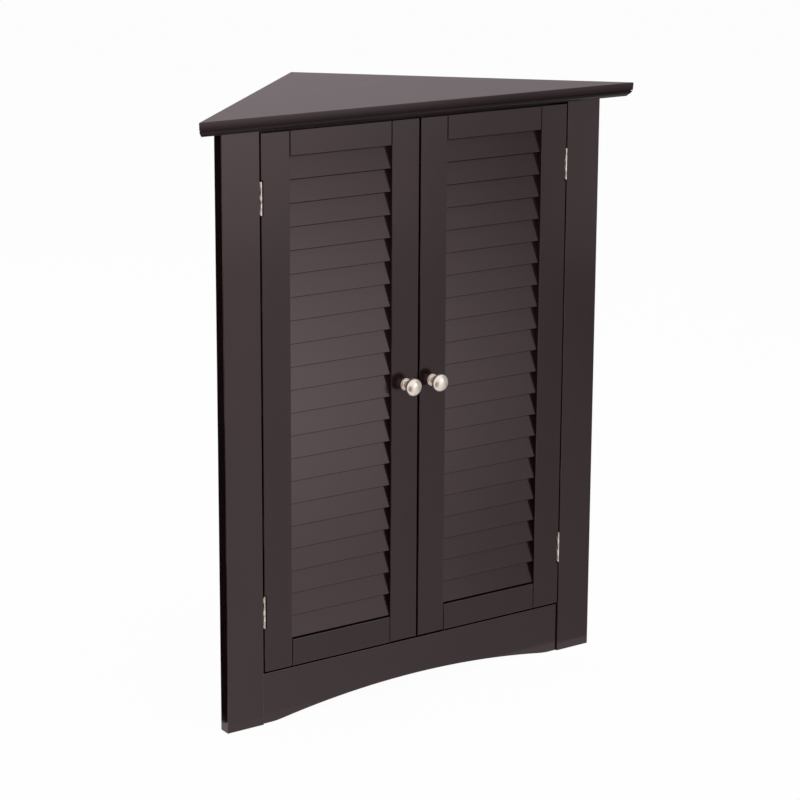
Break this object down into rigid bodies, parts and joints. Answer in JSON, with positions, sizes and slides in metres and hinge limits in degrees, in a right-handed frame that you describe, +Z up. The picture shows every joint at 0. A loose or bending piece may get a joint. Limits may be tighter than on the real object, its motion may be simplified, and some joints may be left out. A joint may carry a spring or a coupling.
{
  "type": "corner cupboard",
  "caption": "Triangular floor-standing corner cupboard with a moulded top, face stiles, an arched apron, louvred doors on butt hinges, knobs and an inner shelf.",
  "frame": {"origin": "middle of the part's bounding box in X and Y, at floor level", "axes": "+X to the viewer's right of the front, -Y out of the front towards the viewer, +Y towards the corner of the room, +Z up"},
  "size_m": [0.6824, 0.3478, 0.813],
  "materials": {
    "dark_paint": "satin espresso paint over wood board",
    "satin_nickel": "satin nickel plate",
    "zinc_plate": "bright zinc plate",
    "catch_plastic": "dark brown moulded plastic"
  },
  "bodies": {
    "cabinet": {"apron": "dark_paint", "bottom_board": "dark_paint", "door_stop_rail": "dark_paint", "left_face_stile": "dark_paint", "left_front_shelf_pin": "satin_nickel", "left_lower_hinge_frame_leaf": "satin_nickel", "left_lower_hinge_pin": "satin_nickel", "left_magnetic_catch": "catch_plastic", "left_rear_shelf_pin": "satin_nickel", "left_side_panel": "dark_paint", "left_upper_hinge_frame_leaf": "satin_nickel", "left_upper_hinge_pin": "satin_nickel", "right_face_stile": "dark_paint", "right_front_shelf_pin": "satin_nickel", "right_lower_hinge_frame_leaf": "satin_nickel", "right_lower_hinge_pin": "satin_nickel", "right_magnetic_catch": "catch_plastic", "right_rear_shelf_pin": "satin_nickel", "right_side_panel": "dark_paint", "right_upper_hinge_frame_leaf": "satin_nickel", "right_upper_hinge_pin": "satin_nickel", "shelf": "dark_paint", "top_board": "dark_paint"},
    "left_door": {"left_door_bottom_rail": "dark_paint", "left_door_hinge_stile": "dark_paint", "left_door_knob_stile_and_slats": "dark_paint", "left_door_top_rail": "dark_paint", "left_knob": "satin_nickel", "left_lower_hinge_door_leaf": "satin_nickel", "left_strike_plate": "zinc_plate", "left_upper_hinge_door_leaf": "satin_nickel"},
    "right_door": {"right_door_bottom_rail": "dark_paint", "right_door_hinge_stile": "dark_paint", "right_door_knob_stile_and_slats": "dark_paint", "right_door_top_rail": "dark_paint", "right_knob": "satin_nickel", "right_lower_hinge_door_leaf": "satin_nickel", "right_strike_plate": "zinc_plate", "right_upper_hinge_door_leaf": "satin_nickel"}
  },
  "joints": [
    {"name": "left_door_hinge", "type": "hinge", "parent": "cabinet", "child": "left_door", "pos_m": [-0.2423, -0.14787, 0], "axis": [0, 0, -1], "range_deg": [0, 110]},
    {"name": "right_door_hinge", "type": "hinge", "parent": "cabinet", "child": "right_door", "pos_m": [0.2423, -0.14787, 0], "axis": [0, 0, 1], "range_deg": [0, 110]}
  ]
}
